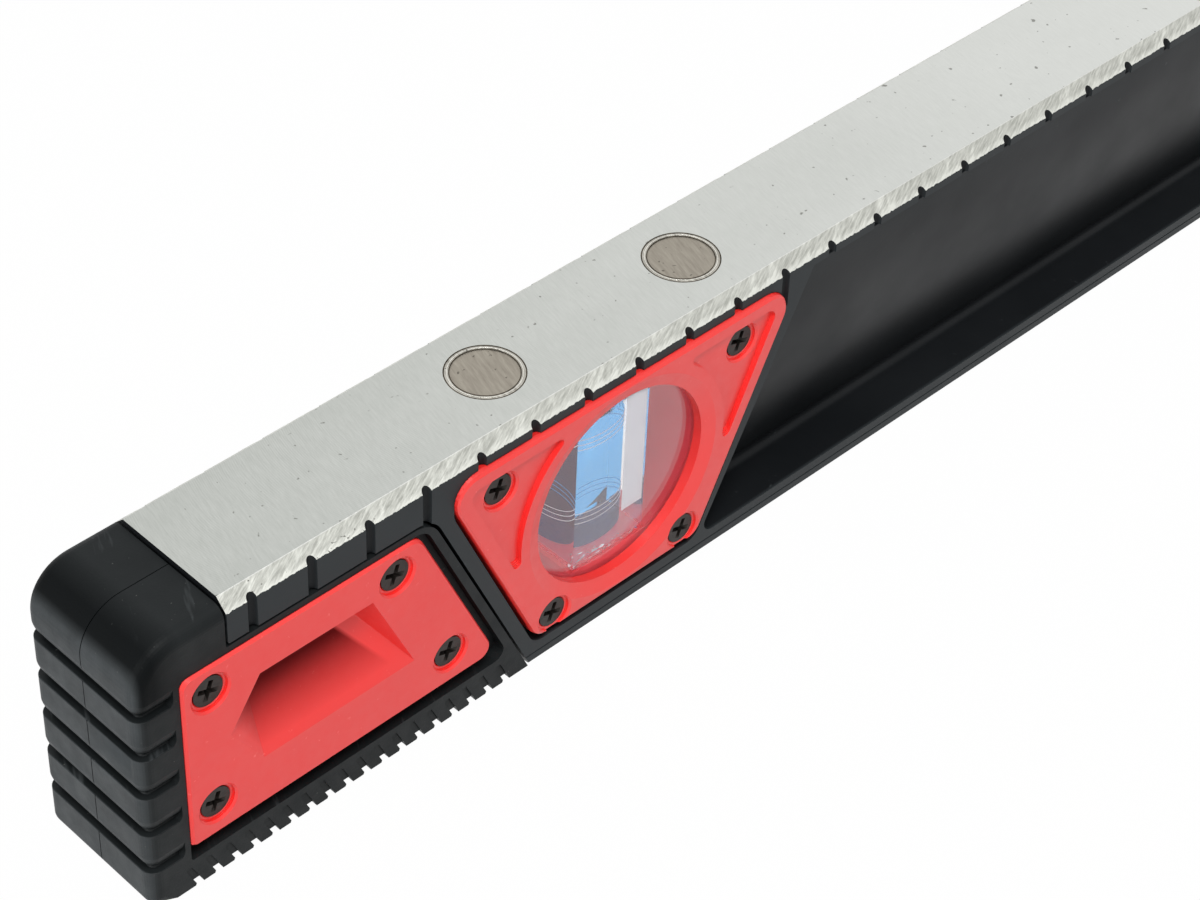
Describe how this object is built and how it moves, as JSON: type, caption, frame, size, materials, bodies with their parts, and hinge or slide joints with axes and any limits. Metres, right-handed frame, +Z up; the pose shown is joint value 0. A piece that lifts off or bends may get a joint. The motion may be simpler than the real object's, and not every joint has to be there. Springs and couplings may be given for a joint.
{
  "type": "magnetic spirit level",
  "caption": "Cast-beam spirit level with a milled magnetic face, notched edges, trapezoid vial bezels and ribbed rubber end caps.",
  "frame": {"origin": "middle of the length and of the thickness, on the plane of the resting edge", "axes": "+X along the level, away from the end that the picture shows; +Y across the thickness; +Z up to the milled magnetic face"},
  "size_m": [0.7984, 0.0312, 0.0615],
  "materials": {
    "beam": "cast aluminium under satin black coat, milled bare on the magnetic face and its two chamfers",
    "rubber": "matt black moulded rubber",
    "red_plastic": "satin red moulded plastic",
    "screw_steel": "blackened steel, cross recess",
    "clear_plastic": "clear polished acrylic",
    "barrel_plastic": "red moulded plastic",
    "vial_liquid": "clear blue liquid",
    "cup_steel": "plain steel, ground flush",
    "magnet_metal": "plated magnet face, ground flush"
  },
  "bodies": {
    "root": {"beam": "beam", "left_end_cap": "rubber", "right_end_cap": "rubber", "left_front_cover_plate": "red_plastic", "left_back_cover_plate": "red_plastic", "right_front_cover_plate": "red_plastic", "right_back_cover_plate": "red_plastic", "cover_plate_screws": "screw_steel", "left_front_bezel": "red_plastic", "left_back_bezel": "red_plastic", "middle_front_bezel": "red_plastic", "middle_back_bezel": "red_plastic", "right_front_bezel": "red_plastic", "right_back_bezel": "red_plastic", "bezel_screws": "screw_steel", "left_front_window": "clear_plastic", "left_back_window": "clear_plastic", "middle_front_window": "clear_plastic", "middle_back_window": "clear_plastic", "right_front_window": "clear_plastic", "right_back_window": "clear_plastic", "left_vial_barrel": "barrel_plastic", "middle_vial_barrel": "barrel_plastic", "right_vial_barrel": "barrel_plastic", "left_vial_block": "clear_plastic", "middle_vial_block": "clear_plastic", "right_vial_block": "clear_plastic", "left_vial_liquid": "vial_liquid", "middle_vial_liquid": "vial_liquid", "right_vial_liquid": "vial_liquid", "magnet_cup_1": "cup_steel", "magnet_cup_2": "cup_steel", "magnet_cup_3": "cup_steel", "magnet_cup_4": "cup_steel", "magnet_1": "magnet_metal", "magnet_2": "magnet_metal", "magnet_3": "magnet_metal", "magnet_4": "magnet_metal"}
  },
  "joints": []
}
